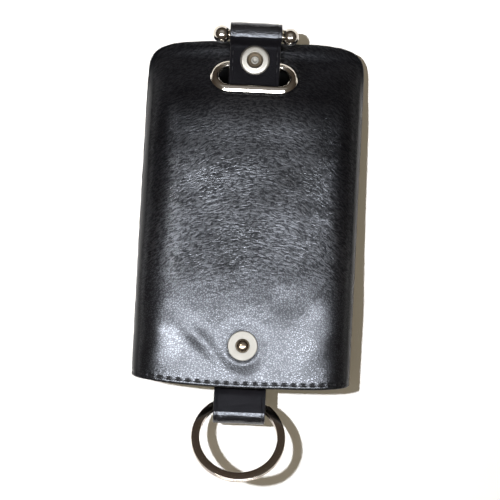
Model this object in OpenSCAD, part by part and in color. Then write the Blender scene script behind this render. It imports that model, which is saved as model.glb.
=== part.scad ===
// Key case: a leather pouch whose pull strap runs through an oval eyelet.
// The case lies on its back. The origin is under the middle of the pouch, on the surface that it
// rests on. +Y runs to the bar at the top, +Z out of the front.

/* [Pouch] */
// Width of the pouch across its seams
pouch_w = 70; // [64:1:80]
// Length of the pouch from the middle of the mouth to the top edge
pouch_l = 112; // [104:1:124]
// Thickness of the pouch at the middle of the mouth
mouth_h = 20; // [18:0.5:23]
// Thickness of the pouch at the top edge
top_h = 6.4; // [6:0.1:7.4]
// How far the middle of the mouth bows out past the mouth's corners
mouth_bow = 1.8; // [0:0.2:4]
// Length of side taken up by the rounding of a top corner
corner_drop = 12; // [10:0.5:14]

/* [Leather] */
// Thickness of the pouch leather
skin_t = 1.0; // [0.8:0.05:1.1]
// Thickness of the lining
lining_t = 0.5; // [0.3:0.05:0.6]
// Thickness of one layer of strap leather
layer_t = 0.9; // [0.8:0.05:1.0]

/* [Eyelet] */
// Distance of the eyelet's centre from the top edge
eyelet_drop = 12.4; // [12.2:0.1:14]
// Radius of the round section of the rim
rim_r = 1.35; // [1.25:0.05:1.4]
// Slope of the front under the eyelet, in degrees
shoulder_angle = 31; // [30:0.5:34]
// Gap between the strap and the rim, above and below
pass_gap = 0.25; // [0.2:0.05:0.35]
// Gap between the strap and the rim, on each side
side_gap = 3.15; // [1.5:0.05:4]
// Thickness of the washer behind the lining
washer_t = 0.4; // [0.3:0.05:0.5]

/* [Strap] */
// Width of the strap
strap_w = 16.3; // [14:0.1:18]
// Rise of the strap towards the bar, in degrees
strap_rise = 0.7; // [0.3:0.1:1]
// How far the strap reaches out of the mouth
tail_out = 12.7; // [11:0.1:18]
// Distance from the strap's edge to its stitching
stitch_in = 1.0; // [0.7:0.05:1.4]

/* [Snap] */
// Outer diameter of the socket on the strap head
socket_od = 9.6; // [9:0.1:10]
// Height of the socket above the leather
socket_h = 1.1; // [1:0.05:1.3]
// Radius of the socket's bore
socket_r = 2.1; // [2.05:0.05:2.3]
// Distance of the socket from the eyelet's centre, along the strap
socket_up = 5.45; // [5.4:0.05:6.5]
// Outer diameter of the stud on the front
stud_od = 9.55; // [9:0.05:10.5]
// Radius of the stud's knob
knob_r = 1.95; // [1.8:0.05:2]
// Distance of the stud from the middle of the mouth
stud_up = 13.6; // [11:0.1:20]

/* [Bar] */
// Radius of the rod in the strap's top fold
rod_r = 1.95; // [1.75:0.05:2.05]
// Diameter of the balls
ball_d = 5.6; // [5:0.1:7]
// Gap between the rod and the leather of the fold
rod_gap = 0.35; // [0.25:0.05:0.5]

/* [Key ring] */
// Outer diameter of the ring
ring_od = 30; // [28:1:36]
// Width of the flat wire
wire_w = 2.6; // [2.2:0.1:3]
// Thickness of the flat wire
wire_t = 0.95; // [0.8:0.05:1.1]
// Angle at which the ring stands up from the ground, in degrees
ring_tilt = 36; // [20:1:38]

/* [Hem] */
// Distance of the hem stitching from the mouth's edge
hem_in = 1.65; // [1.2:0.05:3]
// Distance from one hem stitch to the next
hem_pitch = 3.05; // [2.6:0.05:4]
// Length of a hem stitch
hem_stitch_l = 2.3; // [1.5:0.1:2.4]

/* [Hidden] */

// Fineness of round shapes
$fn = 64;
// One overrun for all cuts
over = 0.2;

// Places of the pouch
half_w = pouch_w / 2;
top_y = pouch_l / 2;
mouth_y = -pouch_l / 2;
corner_y = top_y - corner_drop;
corner_power = 4;
stack_t = skin_t + lining_t;

// Strap section and the angle at which it crosses the eyelet
strap_t = 2 * layer_t;
cross_angle = shoulder_angle + strap_rise;

// Eyelet opening that lets the strap pass. Its halves are rounded, so that the rim's ends and its
// straight sides meet face to face.
round_parts = 200;
function rounded(v) = round(v * round_parts) / round_parts;
hole_half_h = rounded((strap_t / 2 + pass_gap + rim_r) / sin(cross_angle) - rim_r);
hole_half_w = strap_w / 2 + side_gap;
rim_line_r = hole_half_h + rim_r;
rim_line_x = rounded(hole_half_w - hole_half_h);
washer_in = (strap_t / 2 + pass_gap + (stack_t + washer_t) * cos(cross_angle)) / sin(cross_angle);
washer_clear = 0.1;
washer_band = 0.9;
washer_r = rounded(washer_in + washer_clear);

// Flat shoulder of the front that carries the eyelet
seat_margin = 0.15;
seat_half = max(rim_line_r + rim_r, washer_r + washer_band) + seat_margin;
foot_rise = 0.55;
brim_run = 3.2;
eyelet_y = top_y - eyelet_drop;
foot_y = eyelet_y + seat_half * cos(shoulder_angle);
foot_z = top_h + foot_rise;
eyelet_z = foot_z + seat_half * sin(shoulder_angle);
shoulder_y = eyelet_y - seat_half * cos(shoulder_angle);
shoulder_z = eyelet_z + seat_half * sin(shoulder_angle);
brim_y = foot_y + brim_run;

// Knee between the shoulder and the body of the pouch
knee_run = 17;
knee_rise_share = 0.3;
knee_y = shoulder_y - knee_run;
knee_z = shoulder_z + knee_run * tan(shoulder_angle) * knee_rise_share;
body_slope = (knee_z - mouth_h) / (knee_y - mouth_y);
mouth_slope_share = 0.5;
knee_slope_share = 1.7;

// Seam height and the width of the rounding beside it
mouth_seam_share = 0.45;
top_seam_share = 0.5;
mouth_round_share = 0.63;
top_round_share = 0.27;
back_round_share = 0.27;

// Grid of the shells: columns across, rows along in four zones
grid_cols = 26;
body_rows = 9;
knee_rows = 4;
seat_rows = 2;
brim_rows = 7;
grid_rows = body_rows + knee_rows + seat_rows + brim_rows;
edge_power = 1.8;
edge_zone_share = 0.17;
seat_x_share = 0.43;
probe_step = 0.001;

function blend(a, b, t) = a + (b - a) * t;
function unit(v) = v / norm(v);

// Smooth curve between two points with given slopes
function curve_z(y, y0, z0, s0, y1, z1, s1) =
    let (run = y1 - y0, t = (y - y0) / run, t2 = t * t, t3 = t2 * t)
    (2 * t3 - 3 * t2 + 1) * z0 + (t3 - 2 * t2 + t) * run * s0
    + (3 * t2 - 2 * t3) * z1 + (t3 - t2) * run * s1;

// Height of the front along the middle of the pouch
function crest(y) =
    y < knee_y ? curve_z(y, mouth_y, mouth_h, body_slope * mouth_slope_share,
        knee_y, knee_z, body_slope * knee_slope_share)
    : y < shoulder_y ? curve_z(y, knee_y, knee_z, body_slope * knee_slope_share,
        shoulder_y, shoulder_z, -tan(shoulder_angle))
    : y < foot_y ? eyelet_z - (y - eyelet_y) * tan(shoulder_angle)
    : y < brim_y ? curve_z(y, foot_y, foot_z, -tan(shoulder_angle), brim_y, top_h, 0)
    : top_h;
function crest_slope(y) = (crest(y + probe_step) - crest(y - probe_step)) / (2 * probe_step);

// Share of the way to the outline, 0 along the middle and 1 on the outline
function outline_share(x, y) =
    pow(pow(abs(x) / half_w, corner_power)
        + pow(max(0, y - corner_y) / corner_drop, corner_power), 1 / corner_power);
function outline_top(x) =
    corner_y + corner_drop * pow(max(0, 1 - pow(abs(x) / half_w, corner_power)), 1 / corner_power);
function mouth_line(x) = mouth_y + mouth_bow * pow(x / half_w, 2);
function outline_normal(x, y) =
    unit([sign(x) * pow(abs(x) / half_w, corner_power - 1) / half_w,
        pow(max(0, y - corner_y) / corner_drop, corner_power - 1) / corner_drop, 0]);

// Rounding from the seam, 0 on the outline and 1 where the shell is full
function swell(x, y, round_share) =
    let (t = min(1, (1 - outline_share(x, y)) / round_share))
    sqrt(max(0, 1 - pow(1 - t, 2)));
function seam_z(y) =
    blend(mouth_h * mouth_seam_share, top_h * top_seam_share, (y - mouth_y) / pouch_l);
function front_round_share(y) =
    let (t = min(1, max(0, (y - mouth_y) / (corner_y - mouth_y))))
    blend(mouth_round_share, top_round_share, t);
function front_z(x, y) =
    seam_z(y) + (crest(y) - seam_z(y)) * swell(x, y, front_round_share(y));
function back_z(x, y) = seam_z(y) * (1 - swell(x, y, back_round_share));
function shell_z(front, x, y) = front ? front_z(x, y) : back_z(x, y);

// Outward direction of a shell, level on the seam
function shell_normal(front, x, y) =
    let (dx = (shell_z(front, x + probe_step, y) - shell_z(front, x - probe_step, y)),
        dy = (shell_z(front, x, y + probe_step) - shell_z(front, x, y - probe_step)),
        up = unit([-dx, -dy, 2 * probe_step]))
    front ? up : -up;

// Point of a shell at a depth below its outer face
function shell_point(front, x, y, depth) =
    [x, y, shell_z(front, x, y)] - depth * shell_normal(front, x, y);

// Places of the grid
function col_x(i) =
    let (u = 2 * i / grid_cols - 1)
    sign(u) * half_w * (1 - pow(1 - abs(u), edge_power));
function foot_row_y(x) =
    let (t = max(0, (abs(x) / half_w - seat_x_share) / (1 - seat_x_share)))
    blend(foot_y, outline_top(x) - corner_drop * edge_zone_share, pow(t, 3));
function level_y(j) =
    j <= body_rows ? blend(mouth_y, knee_y, j / body_rows)
    : j <= body_rows + knee_rows ? blend(knee_y, shoulder_y, (j - body_rows) / knee_rows)
    : blend(shoulder_y, foot_y, (j - body_rows - knee_rows) / seat_rows);
function row_y(j, x) =
    let (low = mouth_line(x), foot = foot_row_y(x), first = grid_rows - brim_rows)
    j <= first ? low + (level_y(j) - mouth_y) * (foot - low) / (foot_y - mouth_y)
    : blend(foot, outline_top(x), 1 - pow(1 - (j - first) / brim_rows, edge_power));
function on_seam(i, j) = i == 0 || i == grid_cols || j == grid_rows;
function grid_point(front, i, j, depth) =
    let (x = col_x(i), y = row_y(j, x))
    on_seam(i, j) ? [x, y, seam_z(y)] - depth * outline_normal(x, y)
    : shell_point(front, x, y, depth);
function grid_layer(front, depth) =
    [for (j = [0 : grid_rows], i = [0 : grid_cols]) grid_point(front, i, j, depth)];

function cell(i, j) = j * (grid_cols + 1) + i;
function facing(a, b, c, front) = front ? [a, b, c] : [a, c, b];
function cell_faces(front, low) = [
    for (j = [0 : grid_rows - 1], i = [0 : grid_cols - 1], half = [0, 1])
        let (a = cell(i, j), b = cell(i + 1, j), c = cell(i + 1, j + 1), d = cell(i, j + 1))
        half == 0 ? facing(a, c, b, front) : facing(a, d, c, front),
    for (j = [0 : grid_rows - 1], i = [0 : grid_cols - 1], half = [0, 1])
        let (a = cell(i, j), b = cell(i + 1, j), c = cell(i + 1, j + 1), d = cell(i, j + 1))
        half == 0 ? facing(low + a, low + b, low + c, front) : facing(low + a, low + c, low + d, front),
];
function edge_cells() = concat(
    [for (i = [0 : grid_cols - 1]) [cell(i, 0), cell(i + 1, 0)]],
    [for (i = [0 : grid_cols - 1]) [cell(i + 1, grid_rows), cell(i, grid_rows)]],
    [for (j = [0 : grid_rows - 1]) [cell(grid_cols, j), cell(grid_cols, j + 1)]],
    [for (j = [0 : grid_rows - 1]) [cell(0, j + 1), cell(0, j)]]
);
function edge_faces(front, low) = [
    for (e = edge_cells(), half = [0, 1])
        half == 0 ? facing(e[0], e[1], low + e[1], front)
        : facing(e[0], low + e[1], low + e[0], front)
];

// A curved layer between two depths below the outer face
module shell(front, depth, thickness) {
    low = (grid_cols + 1) * (grid_rows + 1);
    polyhedron(
        points = concat(grid_layer(front, depth), grid_layer(front, depth + thickness)),
        faces = concat(cell_faces(front, low), edge_faces(front, low))
    );
}

// Frames that pieces are placed in
module at_eyelet() {
    translate([0, eyelet_y, eyelet_z]) rotate([-shoulder_angle, 0, 0]) children();
}
module at_strap(along = 0) {
    translate([0, eyelet_y, eyelet_z]) rotate([strap_rise, 0, 0]) translate([0, along, 0]) children();
}
stud_y = mouth_y + stud_up;
module at_stud() {
    translate([0, stud_y, crest(stud_y)]) rotate([atan(crest_slope(stud_y)), 0, 0]) children();
}

// Flat shapes
module stadium(half_run, r) {
    square([2 * half_run, 2 * r], center = true);
    for (s = [-1, 1]) translate([s * half_run, 0]) circle(r);
}
module rounded_bar(w, h, r) {
    square([w - 2 * r, h], center = true);
    square([w, h - 2 * r], center = true);
    for (sx = [-1, 1], sy = [-1, 1]) translate([sx * (w / 2 - r), sy * (h / 2 - r)]) circle(r);
}

// A disc whose upper edge is rounded
module button(r, h, edge) {
    rotate_extrude() {
        square([r - edge, h]);
        square([r, h - edge]);
        translate([r - edge, h - edge]) intersection() {
            circle(edge);
            square(edge);
        }
    }
}
// A round rod between two points
module rod_between(p, q, r) {
    d = q - p;
    translate(p) rotate([0, acos(d[2] / norm(d)), atan2(d[1], d[0])]) cylinder(r = r, h = norm(d));
}

// Section of the rim: round over the leather and inside the hole, flat where it sits on the leather
module rim_section() {
    difference() {
        circle(rim_r);
        translate([0, -rim_r - over]) square(rim_r + over);
    }
}
module eyelet_cut() {
    at_eyelet() translate([0, 0, -stack_t - over])
        linear_extrude(stack_t + 2 * over) stadium(rim_line_x, rim_line_r);
}

// Stud on the front
stud_sink = 0.1;
stud_flange_h = 0.45;
stud_edge = 0.2;
stud_well_gap = 0.3;
stud_well_r = knob_r + stud_well_gap;
stud_well_z = 0.15;
knob_z = 0.95;
knob_h = 1.1;
knob_edge = 0.45;
waist_share = 0.85;
waist_r = knob_r * waist_share;
post_r = 1.1;
post_z = 0.8;
post_gap = 0.1;
rivet_r = 3.6;
rivet_t = 0.4;
rivet_gap = 0.03;
module stud_cut() {
    at_stud() {
        translate([0, 0, -stud_sink]) cylinder(d = stud_od, h = mouth_h);
        translate([0, 0, -stack_t - over]) cylinder(r = post_r + post_gap, h = stack_t + 2 * over);
    }
}

module front_panel() {
    color("#17171a") difference() {
        shell(true, 0, skin_t);
        eyelet_cut();
        stud_cut();
    }
}
module back_panel() {
    color("#17171a") shell(false, 0, skin_t);
}
module front_lining() {
    color("#222225") difference() {
        shell(true, skin_t, lining_t);
        eyelet_cut();
        stud_cut();
    }
}
module back_lining() {
    color("#222225") shell(false, skin_t, lining_t);
}

// Hem stitches: short rods along the mouth
thread_r = 0.3;
hem_lift = 0.16;
hem_slant = 0.25;
hem_side = 3.2;
hem_count = floor((pouch_w - 2 * hem_side) / hem_pitch);
module hem_stitches(front, depth) {
    for (k = [0 : hem_count - 1]) {
        x = (k - (hem_count - 1) / 2) * hem_pitch;
        xa = x - hem_stitch_l / 2;
        xb = x + hem_stitch_l / 2;
        rod_between(
            shell_point(front, xa, mouth_line(xa) + hem_in + hem_slant, depth),
            shell_point(front, xb, mouth_line(xb) + hem_in - hem_slant, depth),
            thread_r
        );
    }
}
module hem_stitches_front() {
    color("#0c0c0e") hem_stitches(true, -thread_r - hem_lift);
}
module hem_stitches_back() {
    color("#0c0c0e") hem_stitches(false, stack_t + thread_r + hem_lift);
}

// Thread of the turned seam, a tube that follows the outline inside the lining
seam_gap = 0.55;
seam_end = 4;
seam_side_rings = 6;
seam_turn_rings = 26;
seam_sides = 8;
seam_depth = stack_t + thread_r + seam_gap;
function seam_turn(k) =
    let (a = 180 * k / seam_turn_rings, power = 2 / corner_power)
    [half_w * sign(cos(a)) * pow(abs(cos(a)), power), corner_y + corner_drop * pow(sin(a), power)];
seam_low = mouth_y + mouth_bow + seam_end;
seam_route = concat(
    [for (k = [0 : seam_side_rings - 1]) [half_w, blend(seam_low, corner_y, k / seam_side_rings)]],
    [for (k = [0 : seam_turn_rings]) seam_turn(k)],
    [for (k = [1 : seam_side_rings]) [-half_w, blend(corner_y, seam_low, k / seam_side_rings)]]
);
module seam_thread() {
    rings = len(seam_route);
    points = [
        for (p = seam_route, k = [0 : seam_sides - 1])
            let (n = outline_normal(p[0], p[1]), a = 360 * k / seam_sides)
            [p[0], p[1], seam_z(p[1])] - (seam_depth - thread_r * cos(a)) * n
            + [0, 0, thread_r * sin(a)]
    ];
    faces = concat(
        [[for (k = [0 : seam_sides - 1]) k]],
        [
            for (m = [0 : rings - 2], k = [0 : seam_sides - 1])
                let (a = m * seam_sides, b = a + seam_sides, next = (k + 1) % seam_sides)
                [a + k, b + k, b + next, a + next]
        ],
        [[for (k = [0 : seam_sides - 1]) rings * seam_sides - 1 - k]]
    );
    color("#0c0c0e") polyhedron(points = points, faces = faces);
}

module eyelet_rim() {
    color("#b9b4a8") at_eyelet() for (turn = [0, 180]) rotate([0, 0, turn]) {
        translate([rim_line_x, 0, 0]) rotate([0, 0, -90])
            rotate_extrude(angle = 180) translate([rim_line_r, 0]) rim_section();
        translate([0, rim_line_r, 0]) rotate([90, 0, 90])
            linear_extrude(2 * rim_line_x, center = true) rim_section();
    }
}
module eyelet_washer() {
    color("#a8a49a") at_eyelet() translate([0, 0, -stack_t - washer_t]) linear_extrude(washer_t)
        difference() {
            stadium(rim_line_x, washer_r + washer_band);
            stadium(rim_line_x, washer_r);
        }
}

module snap_stud() {
    color("#d9d4c4") at_stud() difference() {
        union() {
            difference() {
                translate([0, 0, -stud_sink]) button(stud_od / 2, stud_flange_h + stud_sink, stud_edge);
                translate([0, 0, stud_well_z]) cylinder(r = stud_well_r, h = stud_flange_h);
            }
            cylinder(r = waist_r, h = knob_z + over);
            translate([0, 0, knob_z]) button(knob_r, knob_h, knob_edge);
        }
        translate([0, 0, -stud_sink - over]) cylinder(r = post_r, h = post_z + stud_sink + over);
    }
}
module stud_rivet() {
    color("#b9b4a8") at_stud() {
        translate([0, 0, -stack_t - rivet_gap - rivet_t])
            cylinder(r = post_r, h = stack_t + rivet_gap + rivet_t + post_z);
        translate([0, 0, -stack_t - rivet_gap]) mirror([0, 0, 1])
            button(rivet_r, rivet_t, rivet_t / 2);
    }
}

// Strap: measured along itself from the eyelet's centre
fold_back = 1.4;
fold_gap = 0.1;
fold_at = socket_up - socket_od / 2 - fold_back;
tail_end = (eyelet_y - mouth_y + tail_out) / cos(strap_rise);

// Bottom fold, high enough for the ring's wire at every tilt
wire_gap = 0.22;
ring_r = ring_od / 2;
ring_in_r = ring_r - wire_w;
ring_h = 2 * wire_t;
wire_reach = ring_r - sqrt(pow(ring_in_r, 2) - pow(strap_w / 2, 2));
ring_arm = ring_r - wire_reach / 2;
tunnel_r = wire_reach / 2 * sin(ring_tilt) + ring_h / 2 * cos(ring_tilt) + wire_gap;
tunnel_out_r = tunnel_r + layer_t;
tunnel_free = 3;
tunnel_turn = tail_end - tunnel_out_r;
hinge_at = tunnel_turn - tunnel_free;
tunnel_start = hinge_at - wire_reach / 2 - ring_h / 2;
taper_run = 6;
tail_start = tunnel_start - taper_run;
tail_root = 0.7;

// Section across the bottom fold: two arms that part round the wire
module tail_section() {
    for (s = [-1, 1])
        polygon([
            [-tail_start, 0], [-tail_start, s * layer_t], [-tunnel_start, s * tunnel_out_r],
            [-tunnel_turn, s * tunnel_out_r], [-tunnel_turn, s * tunnel_r],
            [-tunnel_start, s * tunnel_r], [-tail_start - tail_root, 0],
        ]);
    translate([-tunnel_turn, 0]) difference() {
        circle(tunnel_out_r);
        circle(tunnel_r);
        translate([0, -tunnel_out_r - over])
            square([tunnel_out_r + over, 2 * tunnel_out_r + 2 * over]);
    }
}
// Stands a section in Y and Z up and gives it the strap's width
module across_strap() {
    rotate([90, 0, 90]) linear_extrude(strap_w, center = true) children();
}

// Stitch rows near both edges, in a shallow groove
groove_w = 0.4;
groove_d = 0.32;
edge_thread_r = 0.15;
edge_pitch = 2.5;
edge_stitch_l = 1.8;
row_end = 1.2;
stitch_x = strap_w / 2 - stitch_in;
module groove(low, high, side) {
    for (s = [-1, 1])
        translate([s * stitch_x - groove_w / 2, low, side > 0 ? layer_t - groove_d : -layer_t - over])
            cube([groove_w, high - low, groove_d + over]);
}
module stitch_rows(low, high) {
    count = floor((high - low) / edge_pitch);
    start = (low + high - count * edge_pitch) / 2;
    for (k = [0 : count - 1], s = [-1, 1], side = [-1, 1])
        translate([s * stitch_x, start + k * edge_pitch, side * (layer_t - edge_thread_r)])
            rotate([-90, 0, 0]) cylinder(r = edge_thread_r, h = edge_stitch_l);
}
strap_row_low = -tail_start + row_end;
strap_row_high = fold_at - row_end;

module strap_face() {
    color("#141416") at_strap() difference() {
        union() {
            across_strap() tail_section();
            across_strap() translate([-tail_start, 0]) square([tail_start + fold_at, layer_t]);
        }
        groove(strap_row_low, strap_row_high, 1);
    }
}
module strap_backing() {
    color("#19191b") at_strap() difference() {
        across_strap() translate([-tail_start, -layer_t]) square([tail_start + fold_at, layer_t]);
        groove(strap_row_low, strap_row_high, -1);
    }
}
module strap_stitches() {
    color("#0c0c0e") at_strap() stitch_rows(strap_row_low, strap_row_high);
}

// Strap head with the top fold round the rod
fold_r = rod_r + rod_gap;
fold_out_r = fold_r + layer_t;
fold_slack = 0.9;
arm_gap = 0.1;
arm_start = socket_up + socket_od / 2 + arm_gap;
bar_at = arm_start + fold_out_r;
head_low = fold_at + fold_gap;
// Point where a line from a place on the arm touches a circle of the fold
function touch_point(p, r) =
    let (d = [bar_at, 0] - p, a = atan2(-d[1], -d[0]) - acos(r / norm(d)))
    [bar_at + r * cos(a), r * sin(a)];
module fold_outline(r, root) {
    circle_touch = touch_point(root, r);
    translate([bar_at, 0]) circle(r);
    translate([bar_at + fold_slack, 0]) circle(r);
    translate([bar_at, -r]) square([fold_slack, 2 * r]);
    polygon([
        [root[0], -root[1]], root, circle_touch, [bar_at, 0], [circle_touch[0], -circle_touch[1]],
    ]);
}
module head_section() {
    difference() {
        fold_outline(fold_out_r, [arm_start, layer_t]);
        fold_outline(fold_r, [arm_start + layer_t / 2, 0]);
    }
}

// Socket on the head, from the cap under the leather up to the mouth of the bore
barrel_step = 0.85;
barrel_r = socket_r + barrel_step;
mouth_step = 0.55;
mouth_r = socket_r + mouth_step;
mouth_depth = 0.5;
bore_low = 0.6;
bore_high = layer_t + socket_h - mouth_depth;
chamber_step = 0.4;
chamber_r = socket_r + chamber_step;
cap_t = 0.5;
cap_in = 0.3;
cap_r = socket_od / 2 - cap_in;
cap_gap = 0.05;
floor_t = 0.35;
chamber_z = -layer_t + cap_t + floor_t;
socket_edge = 0.3;
core_r = 0.8;
core_head_r = 1.15;
core_head_h = 0.25;
spring_wire_r = 0.19;
spring_turn = 320;
module socket_cut() {
    translate([0, socket_up, 0]) {
        translate([0, 0, -layer_t + cap_t]) cylinder(r = barrel_r + cap_gap, h = strap_t);
        translate([0, 0, -layer_t - over]) cylinder(r = cap_r + cap_gap, h = cap_t + over);
    }
}

module head_face() {
    color("#141416") at_strap() difference() {
        union() {
            across_strap() head_section();
            across_strap() translate([head_low, 0])
                square([arm_start + layer_t / 2 - head_low, layer_t]);
        }
        socket_cut();
        groove(head_low + row_end, arm_start, 1);
    }
}
module head_backing() {
    color("#19191b") at_strap() difference() {
        across_strap() translate([head_low, -layer_t]) square([arm_start - head_low, layer_t]);
        socket_cut();
        groove(head_low + row_end, arm_start, -1);
    }
}
module head_stitches() {
    color("#0c0c0e") at_strap() stitch_rows(head_low + row_end, arm_start);
}

module snap_socket() {
    color("#d9d4c4") at_strap(socket_up) difference() {
        union() {
            translate([0, 0, layer_t]) button(socket_od / 2, socket_h, socket_edge);
            translate([0, 0, -layer_t + cap_t]) cylinder(r = barrel_r, h = strap_t - cap_t + over);
        }
        translate([0, 0, bore_high]) cylinder(r = mouth_r, h = socket_h);
        cylinder(r = socket_r, h = strap_t + socket_h);
        translate([0, 0, chamber_z]) cylinder(r = chamber_r, h = bore_low - chamber_z);
        translate([0, 0, -strap_t]) cylinder(r = core_r, h = 2 * strap_t);
    }
}
module socket_spring() {
    color("#c9c6bd") at_strap(socket_up) translate([0, 0, (chamber_z + bore_low) / 2])
        rotate_extrude(angle = spring_turn) translate([chamber_r - spring_wire_r, 0])
            circle(spring_wire_r);
}
module socket_rivet() {
    color("#b9b4a8") at_strap(socket_up) {
        translate([0, 0, -layer_t]) cylinder(r = cap_r, h = cap_t);
        translate([0, 0, -layer_t]) cylinder(r = core_r, h = chamber_z + layer_t + core_head_h);
        translate([0, 0, chamber_z]) button(core_head_r, core_head_h, core_head_h / 2);
    }
}

// Bar: a rod with a ball screwed on each end
ball_gap = 0.1;
collar_l = 0.8;
collar_share = 0.8;
collar_r = rod_r * collar_share;
stub_share = 0.45;
stub_r = rod_r * stub_share;
rod_half = strap_w / 2 + ball_gap;
ball_x = rod_half + ball_d / 2;
stub_l = ball_d / 2;
module bar_rod() {
    color("#b9b4a8") at_strap(bar_at) rotate([0, 90, 0]) {
        cylinder(r = rod_r, h = 2 * rod_half, center = true);
        cylinder(r = stub_r, h = 2 * (rod_half + stub_l), center = true);
    }
}
module ball(side) {
    color("#c9c6bd") at_strap(bar_at) difference() {
        union() {
            translate([side * ball_x, 0, 0]) sphere(d = ball_d);
            translate([side * (rod_half + collar_l / 2), 0, 0]) rotate([0, 90, 0])
                cylinder(r = collar_r, h = collar_l, center = true);
        }
        translate([side * (rod_half + stub_l / 2), 0, 0]) rotate([0, 90, 0])
            cylinder(r = stub_r, h = stub_l, center = true);
    }
}
module ball_left() {
    ball(-1);
}
module ball_right() {
    ball(1);
}

// Split ring: two turns of flat wire, with a slot where each end stops
wire_edge = 0.2;
wire_lap = 0.02;
slot_w = 0.4;
upper_end_angle = 52;
lower_end_angle = 68;
module wire_turn(side, end_angle) {
    difference() {
        rotate_extrude() translate([ring_r - wire_w / 2, side * (wire_t - wire_lap) / 2])
            rounded_bar(wire_w, wire_t + wire_lap, wire_edge);
        rotate([0, 0, end_angle])
            translate([ring_in_r - over, -slot_w / 2, side > 0 ? wire_lap : -wire_t - over])
                cube([wire_w + 2 * over, slot_w, wire_t + over - wire_lap]);
    }
}
module key_ring() {
    color("#8f8478")
        translate([
            0, eyelet_y - hinge_at * cos(strap_rise), eyelet_z - hinge_at * sin(strap_rise),
        ])
            rotate([-ring_tilt, 0, 0]) translate([0, -ring_arm, 0]) {
                wire_turn(1, upper_end_angle);
                wire_turn(-1, lower_end_angle);
            }
}

front_panel();
back_panel();
front_lining();
back_lining();
hem_stitches_front();
hem_stitches_back();
seam_thread();
eyelet_rim();
eyelet_washer();
snap_stud();
stud_rivet();
strap_face();
strap_backing();
strap_stitches();
head_face();
head_backing();
head_stitches();
snap_socket();
socket_spring();
socket_rivet();
bar_rod();
ball_left();
ball_right();
key_ring();
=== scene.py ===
import math
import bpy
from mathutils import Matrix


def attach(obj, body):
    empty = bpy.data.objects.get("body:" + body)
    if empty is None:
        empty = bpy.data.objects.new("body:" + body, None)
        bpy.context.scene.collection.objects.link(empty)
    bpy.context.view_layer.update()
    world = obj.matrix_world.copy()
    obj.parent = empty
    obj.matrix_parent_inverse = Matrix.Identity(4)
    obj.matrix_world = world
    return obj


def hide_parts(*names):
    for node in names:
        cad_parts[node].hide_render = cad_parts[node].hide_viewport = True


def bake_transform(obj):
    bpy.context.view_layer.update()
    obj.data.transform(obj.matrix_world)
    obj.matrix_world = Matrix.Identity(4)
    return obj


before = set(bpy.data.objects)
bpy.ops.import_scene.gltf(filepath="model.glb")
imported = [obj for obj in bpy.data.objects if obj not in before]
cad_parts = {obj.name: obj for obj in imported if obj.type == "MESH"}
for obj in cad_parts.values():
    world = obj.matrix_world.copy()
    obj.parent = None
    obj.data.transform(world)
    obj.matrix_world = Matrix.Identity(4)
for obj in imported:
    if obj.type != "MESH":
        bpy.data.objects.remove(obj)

from types import SimpleNamespace

import bmesh
import bpy
import numpy as np
from bpy.props import FloatProperty, FloatVectorProperty, IntProperty, PointerProperty
from mathutils import Matrix, Vector

bl_info = {
    "name": "Pull-up key case",
    "version": (1, 0, 0),
    "blender": (4, 5, 0),
    "location": "3D View > Sidebar > Key case",
    "description": "Dresses the packed key case in leather, thread and polished metal",
    "category": "Object",
}

MM = 1000.0


# ---- Sizes and colours that a user may change ----

def length(name, text, default):
    return FloatProperty(name=name, description=text, default=default, unit="LENGTH", precision=5)


def angle(name, text, degrees):
    return FloatProperty(
        name=name, description=text, default=math.radians(degrees), subtype="ANGLE")


def colour(name, text, default):
    return FloatVectorProperty(
        name=name, description=text, default=default, size=3, min=0, max=1, subtype="COLOR")


class KeyCasePouch(bpy.types.PropertyGroup):
    pouch_w: length("Width", "Width of the pouch across its seams", 0.070)
    pouch_l: length("Length", "From the middle of the mouth to the top edge", 0.112)
    mouth_h: length("Mouth height", "Thickness of the pouch at its mouth", 0.020)
    top_h: length("Top height", "Thickness of the pouch at its top edge", 0.0064)
    mouth_bow: length("Mouth bow", "How far the middle of the mouth bows out", 0.0018)
    corner_drop: length("Corner", "Length of side taken by the rounding of a top corner", 0.012)
    skin_t: length("Leather", "Thickness of the pouch leather", 0.001)
    lining_t: length("Lining", "Thickness of the lining", 0.0005)
    hem_in: length("Hem inset", "From the mouth's edge to its stitching", 0.00165)
    hem_pitch: length("Hem pitch", "From one hem stitch to the next", 0.00305)
    hem_stitch: length("Hem stitch", "Length of one hem stitch", 0.0023)
    turn_in: length("Turn-in", "Width of leather turned in at the mouth", 0.008)
    colour: colour("Leather colour", "Colour of the pouch leather", (0.0035, 0.0035, 0.0042))
    lining_colour: colour("Lining colour", "Colour of the woven lining", (0.030, 0.030, 0.033))


class KeyCaseStrap(bpy.types.PropertyGroup):
    strap_w: length("Width", "Width of the strap", 0.0163)
    layer_t: length("Layer", "Thickness of one layer of strap leather", 0.0009)
    rise: angle("Rise", "Rise of the strap towards the bar", 0.7)
    tail_out: length("Tail", "How far the strap reaches out of the mouth", 0.0127)
    stitch_in: length("Stitch inset", "From the strap's edge to its stitching", 0.001)
    stitch_pitch: length("Stitch pitch", "From one edge stitch to the next", 0.0025)
    socket_up: length("Socket place", "From the eyelet's centre to the socket", 0.00545)
    colour: colour("Leather colour", "Colour of the strap leather", (0.0060, 0.0056, 0.0066))
    thread_colour: colour("Thread colour", "Colour of all the thread", (0.006, 0.006, 0.007))


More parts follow.
